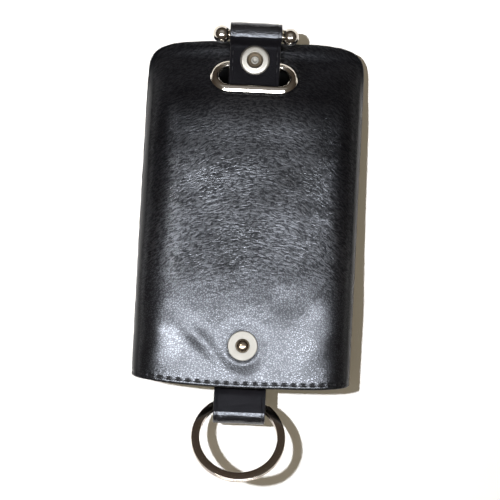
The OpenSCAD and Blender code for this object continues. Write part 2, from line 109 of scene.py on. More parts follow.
class KeyCaseMetal(bpy.types.PropertyGroup):
    rim_r: length("Eyelet rim", "Radius of the round section of the eyelet's rim", 0.00135)
    eyelet_drop: length("Eyelet drop", "From the top edge to the eyelet's centre", 0.0124)
    shoulder: angle("Shoulder", "Slope of the front under the eyelet", 31)
    pass_gap: length("Pass gap", "Gap between strap and rim, above and below", 0.00025)
    side_gap: length("Side gap", "Gap between strap and rim, on each side", 0.00315)
    washer_t: length("Washer", "Thickness of the washer inside the pouch", 0.0004)
    socket_od: length("Socket", "Outer diameter of the socket on the strap", 0.0096)
    stud_od: length("Stud", "Outer diameter of the stud on the pouch", 0.00955)
    stud_up: length("Stud place", "From the middle of the mouth to the stud", 0.0136)
    ball_d: length("Ball", "Diameter of a ball on the bar", 0.0056)
    rod_r: length("Rod", "Radius of the bar's rod", 0.00195)
    ring_od: length("Key ring", "Outer diameter of the key ring", 0.030)
    wire_w: length("Wire width", "Width of the ring's flat wire", 0.0026)
    wire_t: length("Wire thickness", "Thickness of the ring's flat wire", 0.00095)
    ring_tilt: angle("Ring tilt", "Angle at which the ring stands up from the ground", 36)
    nickel: colour("Nickel", "Colour of the rim, the bar and its balls", (0.66, 0.62, 0.55))
    snap: colour("Snap metal", "Colour of the two snap halves", (0.86, 0.83, 0.74))
    steel: colour("Ring steel", "Colour of the key ring", (0.60, 0.53, 0.46))


class KeyCaseStage(bpy.types.PropertyGroup):
    floor: length("Floor", "Side of the square floor", 2.4)
    key: FloatProperty(
        name="Key light", description="Power of the small lamp on the left", default=4.1, min=0)
    sheen: FloatProperty(
        name="Sheen light", description="Power of the long lamp over the mouth", default=5.6,
        min=0)
    seed: IntProperty(name="Seed", description="Seed of the waves and creases", default=7)


# ---- Places that the pieces share, in millimetres ----

WASHER_PLAY, WASHER_LAND, SEAT_EDGE = 0.1, 0.9, 0.15
FOOT_STEP, BRIM_RUN, KNEE_RUN, KNEE_RISE = 0.55, 3.2, 17, 0.3
BEND_RUN, TUNNEL_PLAY, TUNNEL_SEAM, TAIL_RUN = 1.4, 0.22, 3, 6
BAR_PLAY, ARM_PLAY, FOLD_SLACK, HEAD_PLAY, ROD_PLAY = 0.35, 0.1, 0.9, 0.1, 0.1


def layout():
    """The panel's sizes, lengths in millimetres, and the places worked out from them in the
    same way as in the construction."""
    c = SimpleNamespace()
    for group in GROUPS:
        values = getattr(bpy.context.scene, group)
        for name in values.__annotations__:
            field = values.bl_rna.properties[name]
            if not field.is_array:
                scale = MM if field.unit == "LENGTH" else 1
                setattr(c, name, getattr(values, name) * scale)
    c.half_w, c.top_y, c.mouth_y = c.pouch_w / 2, c.pouch_l / 2, -c.pouch_l / 2
    c.stack_t = c.skin_t + c.lining_t
    c.stitch_x = c.strap_w / 2 - c.stitch_in
    c.ball_r, c.ring_r = c.ball_d / 2, c.ring_od / 2
    c.corner_y = c.top_y - c.corner_drop

    cross = c.shoulder + c.rise
    through = c.layer_t + c.pass_gap
    hole_half = (through + c.rim_r) / math.sin(cross) - c.rim_r
    c.rim_line_r = hole_half + c.rim_r
    c.rim_line_x = c.strap_w / 2 + c.side_gap - hole_half
    washer_in = through + (c.stack_t + c.washer_t) * math.cos(cross)
    washer_r = washer_in / math.sin(cross) + WASHER_PLAY
    seat_half = max(c.rim_line_r + c.rim_r, washer_r + WASHER_LAND) + SEAT_EDGE

    seat_y, seat_z = seat_half * math.cos(c.shoulder), seat_half * math.sin(c.shoulder)
    c.slope = math.tan(c.shoulder)
    c.eyelet_y = c.top_y - c.eyelet_drop
    c.foot_y, c.foot_z = c.eyelet_y + seat_y, c.top_h + FOOT_STEP
    c.eyelet_z = c.foot_z + seat_z
    c.shoulder_y, c.shoulder_z = c.eyelet_y - seat_y, c.eyelet_z + seat_z
    c.brim_y = c.foot_y + BRIM_RUN
    c.knee_y = c.shoulder_y - KNEE_RUN
    c.knee_z = c.shoulder_z + KNEE_RUN * c.slope * KNEE_RISE
    c.body_slope = (c.knee_z - c.mouth_h) / (c.knee_y - c.mouth_y)
    c.stud_y = c.mouth_y + c.stud_up

    tail_end = (c.eyelet_y - c.mouth_y + c.tail_out) / math.cos(c.rise)
    reach = c.ring_r - math.sqrt((c.ring_r - c.wire_w) ** 2 - (c.strap_w / 2) ** 2)
    c.ring_arm = c.ring_r - reach / 2
    c.tunnel_r = (reach / 2 * math.sin(c.ring_tilt) + c.wire_t * math.cos(c.ring_tilt)
                  + TUNNEL_PLAY)
    c.tunnel_turn = tail_end - c.tunnel_r - c.layer_t
    c.hinge_at = c.tunnel_turn - TUNNEL_SEAM
    c.tunnel_start = c.hinge_at - reach / 2 - c.wire_t
    c.tail_start = c.tunnel_start - TAIL_RUN

    c.socket_low, c.socket_high = (c.socket_up + c.socket_od / 2 * k for k in (-1, 1))
    c.fold_at = c.socket_low - BEND_RUN
    c.head_low = c.fold_at + HEAD_PLAY
    c.fold_r = c.rod_r + BAR_PLAY
    c.arm_start = c.socket_high + ARM_PLAY
    c.bar_at = c.arm_start + c.fold_r + c.layer_t
    c.rod_half = c.strap_w / 2 + ROD_PLAY
    c.ball_x = c.rod_half + c.ball_r
    return c


def smooth_step(t):
    t = np.clip(t, 0, 1)
    return t * t * (3 - 2 * t)


def fade(d, start, width):
    """0 up to a start, rising smoothly to 1 over a width."""
    return smooth_step((d - start) / width)


def bump_at(d, width):
    """1 at zero distance, falling off over a width."""
    return np.exp(-(d / width) ** 2)


def unit(v):
    return v / np.maximum(np.linalg.norm(v, axis=-1, keepdims=True), 1e-9)


def hermite(y, y0, z0, s0, y1, z1, s1):
    """Smooth curve between two points with given slopes."""
    run = y1 - y0
    t = (y - y0) / run
    t2, t3 = t * t, t ** 3
    return ((2 * t3 - 3 * t2 + 1) * z0 + (t3 - 2 * t2 + t) * run * s0
            + (3 * t2 - 2 * t3) * z1 + (t3 - t2) * run * s1)


def crest(c, y):
    """Height of the front along the middle of the pouch."""
    y = np.asarray(y, float)
    knee_s = c.body_slope * 1.7
    body = hermite(y, c.mouth_y, c.mouth_h, c.body_slope * 0.5, c.knee_y, c.knee_z, knee_s)
    knee = hermite(y, c.knee_y, c.knee_z, knee_s, c.shoulder_y, c.shoulder_z, -c.slope)
    seat = c.eyelet_z - (y - c.eyelet_y) * c.slope
    brim = hermite(y, c.foot_y, c.foot_z, -c.slope, c.brim_y, c.top_h, 0.0)
    return np.select([y < c.knee_y, y < c.shoulder_y, y < c.foot_y, y < c.brim_y],
                     [body, knee, seat, brim], c.top_h)


def corner_parts(c, x, y):
    return np.abs(x) / c.half_w, np.maximum(0, y - c.corner_y) / c.corner_drop


def outline_share(c, x, y):
    """0 along the middle of the pouch and 1 on its outline."""
    a, b = corner_parts(c, x, y)
    return (a ** 4 + b ** 4) ** 0.25


def outline_top(c, x):
    return c.corner_y + c.corner_drop * np.maximum(0, 1 - (np.abs(x) / c.half_w) ** 4) ** 0.25


def outline_normal(c, x, y):
    a, b = corner_parts(c, x, y)
    return unit(np.stack([np.sign(x) * a ** 3 / c.half_w, b ** 3 / c.corner_drop, 0 * a], -1))


def seam_distance(c, x, y):
    """How far a place is inside the outline, nearly, up to half the pouch's width."""
    a, b = corner_parts(c, x, y)
    share = outline_share(c, x, y)
    steep = np.hypot(a ** 3 / c.half_w, b ** 3 / c.corner_drop) / np.maximum(share, 0.2) ** 3
    return np.minimum((1 - share) / np.maximum(steep, 1 / c.half_w), c.half_w)


def mouth_line(c, x):
    return c.mouth_y + c.mouth_bow * (x / c.half_w) ** 2


def seam_z(c, y):
    low, high = c.mouth_h * 0.45, c.top_h * 0.5
    return low + (high - low) * (y - c.mouth_y) / c.pouch_l


def shell_z(c, front, x, y):
    """Height of the plain front or back."""
    t = np.clip((y - c.mouth_y) / (c.corner_y - c.mouth_y), 0, 1)
    rounded = 0.63 + (0.27 - 0.63) * t if front else 0.27
    full = 2.7 - 0.7 * smooth_step(t) if front else 2.0
    inward = np.minimum(1, (1 - outline_share(c, x, y)) / rounded)
    swell = np.maximum(0, 1 - (1 - inward) ** full) ** (1 / full)
    low = seam_z(c, y)
    return low + (crest(c, y) - low) * swell if front else low * (1 - swell)


def shell_normal(c, front, x, y):
    step = 0.001
    dx = shell_z(c, front, x + step, y) - shell_z(c, front, x - step, y)
    dy = shell_z(c, front, x, y + step) - shell_z(c, front, x, y - step)
    n = unit(np.stack([-dx, -dy, np.full_like(dx, 2 * step)], -1))
    return n if front else -n


def tilted(y, z, turn):
    """A place on the middle plane of the case, turned about X."""
    return Matrix.Translation((0, y, z)) @ Matrix.Rotation(turn, 4, "X")


def strap_frame(c, along=0.0):
    return tilted(c.eyelet_y, c.eyelet_z, c.rise) @ Matrix.Translation((0, along, 0))


def stud_frame(c):
    step = 0.001
    low, z, high = crest(c, c.stud_y + np.array((-step, 0, step))).tolist()
    return tilted(c.stud_y, z, math.atan((high - low) / (2 * step)))


# ---- Mesh tools ----

def ripple(seed, x, y, wide, long, offset=20):
    """Smooth noise from -1 to 1 over a plane, in cells of a given width and length."""
    u, v = x / wide + offset, y / long + offset
    size = 97
    table = np.random.default_rng(seed).uniform(-1, 1, (size, size))
    iu, iv = np.floor(u).astype(int), np.floor(v).astype(int)
    fu, fv = smooth_step(u - iu), smooth_step(v - iv)
    low, high = (table[iu % size, j % size] * (1 - fu) + table[(iu + 1) % size, j % size] * fu
                 for j in (iv, iv + 1))
    return low * (1 - fv) + high * fv


def run_along(line):
    """Distance along a polyline at each of its points."""
    return np.concatenate([[0], np.cumsum(np.linalg.norm(np.diff(line, axis=0), axis=1))])


def make_piece(name, nodes, slot, looks, points, faces, body=None, matrix=None, sharp=60,
               zones=None):
    """A smooth-shaded mesh from points in millimetres, equal points joined. It stands for some
    nodes of the frame. looks names its finishes, and zones says which one each face takes."""
    mesh = bpy.data.meshes.new(name)
    bm = bmesh.new()
    where = matrix or Matrix.Identity(4)
    verts = [bm.verts.new(where @ Vector(p)) for p in np.asarray(points, float).tolist()]
    for k, face in enumerate(faces):
        made = bm.faces.new([verts[i] for i in face])
        made.smooth = True
        if zones is not None:
            made.material_index = int(zones[k])
    bmesh.ops.remove_doubles(bm, verts=bm.verts, dist=1e-4)
    bmesh.ops.recalc_face_normals(bm, faces=bm.faces)
    bmesh.ops.scale(bm, vec=(1 / MM,) * 3, verts=bm.verts)
    bm.to_mesh(mesh)
    bm.free()
    mesh.set_sharp_from_angle(angle=math.radians(sharp))
    for look in looks:
        mesh.materials.append(finishes()[look])
    piece = bpy.data.objects.new(name, mesh)
    bpy.context.scene.collection.objects.link(piece)
    if body:
        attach(piece, body)
    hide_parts(*nodes)
    return piece


def tube_faces(rings, sides, first=0, close=False):
    """Faces of a tube of rings; capped at both ends unless it closes on itself."""
    faces = []
    for i in range(rings if close else rings - 1):
        a, b = first + i * sides, first + (i + 1) % rings * sides
        faces += [(a + k, a + (k + 1) % sides, b + (k + 1) % sides, b + k) for k in range(sides)]
    if not close:
        last = first + (rings - 1) * sides
        faces += [tuple(range(first + sides - 1, first - 1, -1)), tuple(range(last, last + sides))]
    return faces


def sweep(path, side, up, section):
    """Points of a section, one for all stations or one for each, carried along a path."""
    section = np.broadcast_to(section, (len(path),) + np.shape(section)[-2:])
    return (path[:, None] + section[..., :1] * side[:, None]
            + section[..., 1:] * up[:, None]).reshape(-1, 3)


def soften(corners, radius, steps=5, closed=False):
    """A polyline whose corners are rounded; radius is one number or one for each corner."""
    corners = np.asarray(corners, float)
    count = len(corners)
    radii = np.broadcast_to(radius, count)
    out = []
    for i, p in enumerate(corners):
        before, after = corners[i - 1] - p, corners[(i + 1) % count] - p
        r = min(radii[i], np.linalg.norm(before) * 0.45, np.linalg.norm(after) * 0.45)
        if r <= 0 or not closed and i in (0, count - 1):
            out.append(p)
            continue
        a, b = p + unit(before) * r, p + unit(after) * r
        for t in np.linspace(0, 1, steps):
            out.append((1 - t) ** 2 * a + 2 * t * (1 - t) * p + t * t * b)
    return np.array(out)


def arc(centre, radius, start, stop, count):
    """Points of an arc in a plane; angles in degrees."""
    t = np.radians(np.linspace(start, stop, count))
    return np.stack([centre[0] + radius * np.cos(t), centre[1] + radius * np.sin(t)], -1)


def lathe(profile, turns, closed):
    """Points and faces of a profile (radius, height) turned about Z."""
    angles = np.arange(turns) * 2 * math.pi / turns
    radius, height = np.asarray(profile, float).T
    points = np.stack([np.outer(np.cos(angles), radius), np.outer(np.sin(angles), radius),
                       np.tile(height, (turns, 1))], -1).reshape(-1, 3)
    count = len(profile)
    faces = []
    for i in range(turns):
        a, b = i * count, (i + 1) % turns * count
        for k in range(count if closed else count - 1):
            n = (k + 1) % count
            ring = (a + k, b + k, b + n, a + n)
            if radius[k] < 1e-9:
                ring = (a + k, b + n, a + n)
            elif radius[n] < 1e-9:
                ring = (a + k, b + k, a + n)
            faces.append(ring)
    return points, faces


def turned_piece(name, node, slot, looks, profile, body, matrix, zone=None, turns=96,
                 closed=False):
    """A turned piece; zone picks each ring's finish from its middle radius and height."""
    middle = (profile + np.roll(profile, -1, 0)) / 2
    zones = np.tile(zone(*middle[:None if closed else -1].T), turns) if zone else None
    make_piece(name, [node], slot, looks, *lathe(profile, turns, closed), body, matrix,
               zones=zones)


def twisted_thread(path, up, radius, twist, sides):
    """A three-ply thread along a path, thinner at both ends."""
    ahead = unit(np.gradient(path, axis=0))
    side = unit(np.cross(ahead, up))
    around = np.arange(sides) * 2 * math.pi / sides
    ply = radius * (0.86 + 0.14 * np.cos(3 * (around - run_along(path)[:, None] * twist)))
    ply *= np.sin(np.pi * np.linspace(0.06, 0.94, len(path)))[:, None] ** 0.35
    section = np.stack([ply * np.cos(around), ply * np.sin(around)], -1)
    return sweep(path, side, np.cross(side, ahead), section)


def thread_piece(name, node, runs, radius, body, twist=4.5):
    """All the stitches of one row as a single piece."""
    sides = 9
    points, faces = [], []
    for path, up in runs:
        faces += tube_faces(len(path), sides, len(points))
        points += twisted_thread(path, up, radius, twist, sides).tolist()
    make_piece(name, [node], "thread", ["waxed_thread"], points, faces, body, sharp=70)


# ---- Finishes ----

class Nodes:
    """Short ways to build the node tree of a material or a world."""

    def __init__(self, owner):
        owner.use_nodes = True
        self.tree = owner.node_tree
        self.tree.nodes.clear()

    def node(self, kind):
        return self.tree.nodes.new("ShaderNode" + kind)

    def put(self, node, socket, value):
        target = node.inputs[socket]
        if isinstance(value, bpy.types.NodeSocket):
            self.tree.links.new(value, target)
        else:
            target.default_value = value

    def add(self, kind, inputs=(), out=0, **settings):
        node = self.node(kind)
        for key, value in settings.items():
            setattr(node, key, value)
        for socket, value in dict(inputs).items():
            self.put(node, socket, value)
        return node.outputs[out]

    def math(self, operation, *values):
        return self.add("Math", dict(enumerate(values)), operation=operation)

    def times(self, first, *others):
        for other in others:
            first = self.math("MULTIPLY", first, other)
        return first

    def split(self, vector):
        node = self.node("SeparateXYZ")
        self.put(node, 0, vector)
        return node.outputs


class Finish(Nodes):
    """A material that is built up around one surface shader."""

    def __init__(self, name, **sockets):
        self.material = bpy.data.materials.new(name)
        super().__init__(self.material)
        self.shader = self.node("BsdfPrincipled")
        self.put(self.node("OutputMaterial"), 0, self.shader.outputs[0])
        self.give(**sockets)

    def give(self, **sockets):
        for socket, value in sockets.items():
            self.put(self.shader, socket.replace("_", " "), value)

    def place(self):
        return self.add("TexCoord", out="Object")

    def stretch(self, vector, scale):
        return self.add("VectorMath", {0: vector, 1: scale}, operation="MULTIPLY")

    def noise(self, vector, scale, detail=2.0, rough=0.5, distortion=0.0, out=0):
        return self.add("TexNoise", {"Vector": vector, "Scale": scale, "Detail": detail,
                                     "Roughness": rough, "Distortion": distortion}, out)

    def ramp(self, value, low, high, to_low=0.0, to_high=1.0, smooth=True):
        return self.add("MapRange", {"Value": value, "From Min": low, "From Max": high,
                                     "To Min": to_low, "To Max": to_high},
                        interpolation_type="SMOOTHSTEP" if smooth else "LINEAR")

    def tint(self, factor, a, b):
        return self.add("Mix", {0: factor, 6: (*a, 1), 7: (*b, 1)}, 2, data_type="RGBA")

    def relief(self, height, distance):
        self.give(Normal=self.add("Bump", {"Height": height, "Distance": distance}))


def shade(rgb, factor):
    return tuple(min(1.0, channel * factor) for channel in rgb)


# Places and bows on the front, in metres
PEBBLES_FROM, PEBBLES_FULL = -0.012, -0.040
RUBBED_PLACE = (-0.0240, -0.0415, 0.0185)
CRINKLE_BOW, CORNER_BOW = 12.0, 50.0
CORNER_FROM, CORNER_FULL = 0.028, 0.056


def leather_finish(name, rgb, grain, shine, gloss, depth, worn=False):
    """Black full-grain leather: fine crinkles across the hide that turn into round pebbles
    towards the mouth. On worn leather the crinkles are bowed, the hollows are duller than the
    ridges, the upper corners and the low end are duller, and one place is rubbed bright."""
    f = Finish(name, IOR=1.7, Specular_IOR_Level=shine, Specular_Tint=(0.90, 0.94, 1.0, 1.0))
    where = bowed = f.place()
    x, y, z = f.split(where)
    if worn:
        squared = f.times(x, x)
        arched = f.math("MULTIPLY_ADD", squared, CRINKLE_BOW, y)
        bowed = f.add("CombineXYZ", {0: x, 1: arched, 2: z})
    # Crinkles run across the hide, pebbles take over low down
    drift = f.noise(where, 130.0, out="Color")
    moved = f.add("VectorMath", {0: drift, 1: (0.0030,) * 3, 2: bowed}, operation="MULTIPLY_ADD")
    laid = f.stretch(moved, (grain * 0.50, grain * 1.40, grain * 0.8))
    ridge = f.ramp(f.noise(laid, 1.0, distortion=0.4), 0.28, 0.70, smooth=False)
    cells = f.add("TexVoronoi", {"Vector": f.stretch(moved, (0.85, 1.0, 0.9)),
                                 "Scale": grain * 1.15}, "Distance", feature="DISTANCE_TO_EDGE")
    low = f.ramp(y, PEBBLES_FULL, PEBBLES_FROM, 0.85, 0.2)
    step = f.math("SUBTRACT", f.ramp(cells, 0.02, 0.30), ridge)
    hide = f.math("MULTIPLY_ADD", step, low, ridge)
    flat = f.times(hide, f.math("MULTIPLY_ADD", low, -0.76, 1.0))
    if worn:
        # Gloss over the worn front: less in hollows, on turned sides and in handled corners
        away = f.add("VectorMath", {0: where, 1: RUBBED_PLACE}, "Value", operation="DISTANCE")
        flat = f.times(flat, f.ramp(away, 0.001, 0.010, 0.30, 1.0))
        hollow = f.times(f.math("MULTIPLY_ADD", low, 0.40, 0.12), shine)
        glint = f.ramp(hide, 0.28, 0.75, hollow, shine, smooth=False)
        facing = f.add("LayerWeight", {"Blend": 0.5}, "Facing")
        turned = f.ramp(facing, 0.12, 0.50, 1.0, 0.08)
        corner = f.math("MULTIPLY_ADD", squared, CORNER_BOW, y)
        handled = f.ramp(corner, CORNER_FROM, CORNER_FULL, 1.0, 0.38)
        fresh = f.math("MULTIPLY_ADD", low, -0.54, 1.11)
        buffed = f.math("MAXIMUM", fresh, f.ramp(away, 0.002, 0.012, 0.95, 0.5))
        f.give(Specular_IOR_Level=f.times(glint, turned, handled, buffed))
    fine = f.noise(where, grain * 3.2, rough=0.6)
    patch = f.noise(where, 60.0)
    uneven = f.ramp(patch, 0.3, 0.7, gloss - 0.03, gloss + 0.03, smooth=False)
    f.give(Roughness=f.math("MULTIPLY_ADD", hide, -0.04, uneven),
           Base_Color=f.tint(f.ramp(patch, 0.3, 0.75), rgb, shade(rgb, 1.7)))
    f.relief(f.math("MULTIPLY_ADD", fine, 0.12, flat), depth)


def lining_finish(rgb):
    """Plain woven lining, matt."""
    f = Finish("woven_lining", Roughness=0.85, Specular_IOR_Level=0.25, Sheen_Weight=0.3,
               Sheen_Roughness=0.5)
    where = f.place()
    thread_pair = 0.00042
    warp, weft = (f.math("SINE", f.times(axis, 2 * math.pi / thread_pair))
                  for axis in list(f.split(where))[:2])
    cloth = f.math("MULTIPLY_ADD", f.times(warp, weft), 0.5, 0.5)
    f.give(Base_Color=f.tint(cloth, shade(rgb, 0.7), shade(rgb, 1.4)))
    f.relief(f.math("MULTIPLY_ADD", f.noise(where, 2600.0, 3.0), 0.4, cloth), 0.00008)


def thread_finish(rgb):
    """Waxed black thread with its plies."""
    f = Finish("waxed_thread", Roughness=0.5, Specular_IOR_Level=0.45)
    fibres = f.noise(f.place(), 5200.0, 3.0)
    f.give(Base_Color=f.tint(fibres, shade(rgb, 0.8), shade(rgb, 2.2)))
    f.relief(fibres, 0.00004)


def edge_finish(rgb):
    """Painted and rubbed leather edge."""
    f = Finish("painted_edge", Specular_IOR_Level=1.0)
    rub = f.noise(f.stretch(f.place(), (900.0, 260.0, 1500.0)), 1.0, 3.0)
    f.give(Base_Color=f.tint(rub, shade(rgb, 0.8), shade(rgb, 1.8)),
           Roughness=f.ramp(rub, 0.3, 0.7, 0.28, 0.42, smooth=False))
    f.relief(rub, 0.00006)


TARNISH = (0.34, 0.29, 0.22)


def metal_finish(name, rgb, rough, wear):
    """Plated metal with faint tarnish, hairlines and softened gloss."""
    f = Finish(name, Metallic=1.0)
    where = f.place()
    cloud = f.noise(where, 260.0, 4.0, 0.6)
    hair = f.noise(f.stretch(where, (5200.0, 900.0, 2400.0)), 1.0, 3.0, 0.7)
    tone = f.math("MULTIPLY_ADD", cloud, 0.08, rough - 0.04)
    f.give(Base_Color=f.tint(f.ramp(cloud, 0.52, 0.78, 0.0, wear), rgb, TARNISH),
           Roughness=f.math("MULTIPLY_ADD", hair, 0.05, tone))
    f.relief(hair, 0.000004)


def finishes():
    """All finishes by name, made once."""
    if "woven_lining" not in bpy.data.materials:
        scene = bpy.context.scene
        pouch, strap, metal = scene.key_case_pouch, scene.key_case_strap, scene.key_case_metal
        for name, rgb, grain, shine, gloss, depth in (
                ("grained_leather", pouch.colour, 1450.0, 1.0, 0.32, 0.00005),
                ("side_leather", pouch.colour, 1450.0, 0.05, 0.38, 0.00004),
                ("smooth_leather", strap.colour, 2100.0, 0.018, 0.34, 0.00006),
                ("fold_leather", strap.colour, 1500.0, 0.5, 0.26, 0.00008)):
            leather_finish(name, rgb, grain, shine, gloss, depth, name == "grained_leather")
        lining_finish(pouch.lining_colour)
        thread_finish(strap.thread_colour)
        edge_finish(strap.colour)
        for name, rgb, rough, wear in (
                ("polished_nickel", metal.nickel, 0.09, 0.25),
                ("snap_nickel", shade(metal.snap, 0.5), 0.42, 0.3),
                ("flange_nickel", shade(metal.snap, 0.46), 0.62, 0.12),
                ("knob_brass", (0.28, 0.23, 0.17), 0.24, 0.2),
                # dull_brass is a near-black brass for the stud's well and the socket's recess:
                # painted shade where those recesses fall dark
                ("dull_brass", (0.10, 0.08, 0.055), 0.5, 0.4),
                ("ring_wire", metal.steel, 0.12, 0.2)):
            metal_finish(name, rgb, rough, wear)
    return bpy.data.materials


# ---- Pouch. Heights, widths and distances here and below are in millimetres ----

HEM_ROWS = (0.8, 0.95, 1.1, 1.22, 1.34, 1.46, 1.58, 1.7, 1.82, 1.94, 2.06, 2.2, 2.4, 2.7, 3.1,
            3.6)
SEAM_PLAY, LINING_PLAY = 0.08, 0.05
HEM_THREAD, SEAM_THREAD, STRAP_THREAD = 0.24, 0.26, 0.15
# Columns, rows of the body and rows of the brim
FRONT_GRID, BACK_GRID, LINING_GRID = (241, 200, 34), (161, 120, 24), (101, 70, 16)


def shell_grid(c, columns, body_rows, brim_rows, hem):
    """x and y of a grid that runs from the hem to the outline; hem lists its first rows."""
    u = np.linspace(-1, 1, columns)
    x = np.sign(u) * c.half_w * (1 - (1 - np.abs(u)) ** 1.5)
    low = mouth_line(c, x) + hem[-1]
    t = np.maximum(0, (np.abs(x) / c.half_w - 0.43) / 0.57) ** 3
    top = outline_top(c, x)
    foot = c.foot_y + (top - c.corner_drop * 0.17 - c.foot_y) * t
    body, brim = (np.linspace(0, 1, count + 1)[1:, None] for count in (body_rows, brim_rows))
    y = np.concatenate([mouth_line(c, x) + np.array(hem)[:, None], low + body * (foot - low),
                        foot + (1 - (1 - brim) ** 1.8) * (top - foot)])
    return np.broadcast_to(x, y.shape).copy(), y


def rim_distance(c, x, y):
    """Distance from the rim's centre line, along the seat of the eyelet."""
    v = (y - c.eyelet_y) / math.cos(c.shoulder)
    return np.hypot(np.maximum(np.abs(x) - c.rim_line_x, 0), v) - c.rim_line_r


def open_hole(c, x, y):
    """Marks the cells inside the eyelet and draws the grid onto its edge."""
    kept = rim_distance(c, (x[1:, 1:] + x[:-1, :-1]) / 2, (y[1:, 1:] + y[:-1, :-1]) / 2) > 0
    touched, gone = np.zeros(x.shape, bool), np.zeros(x.shape, bool)
    for i, j in ((0, 0), (0, 1), (1, 0), (1, 1)):
        part = slice(i, x.shape[0] - 1 + i), slice(j, x.shape[1] - 1 + j)
        touched[part] |= kept
        gone[part] |= ~kept
    edge = touched & gone
    cos_s = math.cos(c.shoulder)
    near = np.clip(x[edge], -c.rim_line_x, c.rim_line_x)
    away = np.stack([x[edge] - near, (y[edge] - c.eyelet_y) / cos_s])
    away *= c.rim_line_r / np.hypot(*away)
    x[edge], y[edge] = near + away[0], c.eyelet_y + away[1] * cos_s
    return kept


def shell_solid(c, front, x, y, relief, depth, curl_steps=0, kept=None):
    """A closed layer of the pouch: outer face, turned edge at the mouth and inner face."""
    rows, cols = x.shape
    surface = np.stack([x, y, shell_z(c, front, x, y)], -1)
    normal = shell_normal(c, front, x, y)
    seam = np.zeros((rows, cols), bool)
    seam[:, [0, -1]] = seam[-1] = True
    surface[seam, 2] = seam_z(c, y[seam])
    normal[seam] = outline_normal(c, x[seam], y[seam])
    if front:
        surface += np.where(seam, 0, front_form(c, x, y))[..., None] * normal
    layers = [(surface - depth[..., None] * normal)[::-1]]
    if curl_steps:
        out = surface[0] - surface[1]
        out = unit(out - (out * normal[0]).sum(-1, keepdims=True) * normal[0])
        half = (depth[0] / 2)[:, None]
        turn = math.pi * np.arange(2 * curl_steps, 0, -1)[:, None, None] / (2 * curl_steps + 1)
        rise = half * np.cos(turn) + relief[0][:, None] * np.clip(np.cos(turn), 0, 1)
        layers.append(surface[0] + (rise - half) * normal[0] + half * np.sin(turn) * out)
    layers.append(surface + relief[..., None] * normal)
    points = np.concatenate(layers)
    total = len(points)

    def cell(i, j):
        return i % total * cols + j

    i, j = np.meshgrid(np.arange(total), np.arange(cols - 1), indexing="ij")
    quads = np.stack([cell(i, j), cell(i, j + 1), cell(i + 1, j + 1), cell(i + 1, j)], -1)
    walls, first = [], total - rows
    if kept is not None:
        keep = np.ones(quads.shape[:2], bool)
        keep[first:-1], keep[:rows - 1] = kept, kept[::-1]
        quads = quads[keep]
        walls = [(a + 1, b, a + 1, b + 1) for a, b in np.argwhere(kept[1:] != kept[:-1])]
        walls += [(a, b + 1, a + 1, b + 1) for a, b in np.argwhere(kept[:, 1:] != kept[:, :-1])]
    faces = quads.reshape(-1, 4).tolist()
    faces += [(cell(i, j), cell(i + 1, j), cell(total - 2 - i, j), cell(total - 1 - i, j))
              for j in (0, cols - 1) for i in range(total // 2 - 1)]
    faces += [(cell(first + ia, ja), cell(first + ib, jb), cell(rows - 1 - ib, jb),
               cell(rows - 1 - ia, ja)) for ia, ja, ib, jb in walls]
    return lean(c, points.reshape(-1, 3)), faces


def seam_away(c, front, x, y):
    """Distance from the seam, nearly, over the surface."""
    return np.hypot(seam_distance(c, x, y), np.abs(shell_z(c, front, x, y) - seam_z(c, y)))


def seam_relief(c, front, x, y):
    """The valley of the turned seam, with faint puckers beside it."""
    away = seam_away(c, front, x, y)
    pucker = ripple(31, x, y, 2.1, 2.1, 40) * 0.07 * bump_at(away - 1.3, 1.0)
    return pucker + 0.24 * bump_at(away - 1.2, 0.8) - 0.32 * bump_at(away, 0.42)


def hem_relief(c, x, y):
    """The pressed line of the hem stitching and the soft roll below it."""
    s = y - mouth_line(c, x)
    beat = 0.09 * np.cos(2 * math.pi * (x / c.hem_pitch + 0.5)) * bump_at(s - c.hem_in, 0.5)
    return 0.03 * bump_at(s - 0.75, 0.7) - 0.10 * bump_at(s - c.hem_in, 0.4) - beat


# Waves of the worn front: height, how much more low down, cell width and length, offset
WAVES = ((0.28, 0, 13, 21, 20), (0.06, 0.10, 6, 7, 30), (0.012, 0, 3.4, 2.0, 50),
         (0.008, 0, 2.2, 1.2, 70))
# Humps: height, middle and width on x, middle and length on y; swells: the same on y alone
HUMPS = ((1.00, -27, 6.0, -38, 7.5), (0.55, 25, 10, -33, 13), (0.25, 13, 3.2, 49.5, 2.4),
         (0.25, -13, 3.2, 49.5, 2.4))
SWELLS = ((0.45, -26, 13), (0.20, 18, 8))
CREASE_PLACE = (-13.5, -41)


def front_form(c, x, y):
    """How far the worn front stands off its plain form, leather and lining together."""
    stud = np.hypot(x, y - c.stud_y)
    edge = fade(seam_away(c, True, x, y), 1, 9)
    flat_stud = fade(stud, 4.8, 5)
    calm = (fade(rim_distance(c, x, y), 1.5, 5) * flat_stud * edge
            * fade(y - mouth_line(c, x), 1, 6))
    low = 1 - fade(y, -30, 20)
    waves = sum((height + more * low) * ripple(c.seed + k, x, y, wide, long, offset)
                for k, (height, more, wide, long, offset) in enumerate(WAVES))
    from_x, from_y = x - CREASE_PLACE[0], y - CREASE_PLACE[1]
    across, along = (from_x + from_y) * 0.707, (from_x - from_y) * 0.707
    crease = -0.75 * bump_at(across, 2.8) * bump_at(along, 9)
    humps = sum(height * bump_at(x - at_x, wide) * bump_at(y - at_y, long)
                for height, at_x, wide, at_y, long in HUMPS)
    humps += sum(height * bump_at(y - at_y, long) for height, at_y, long in SWELLS)
    droop = -0.9 * fade(-y, 36, 20) * (1 - (x / c.half_w) ** 2) * edge
    return (waves + crease + humps) * calm + droop * flat_stud


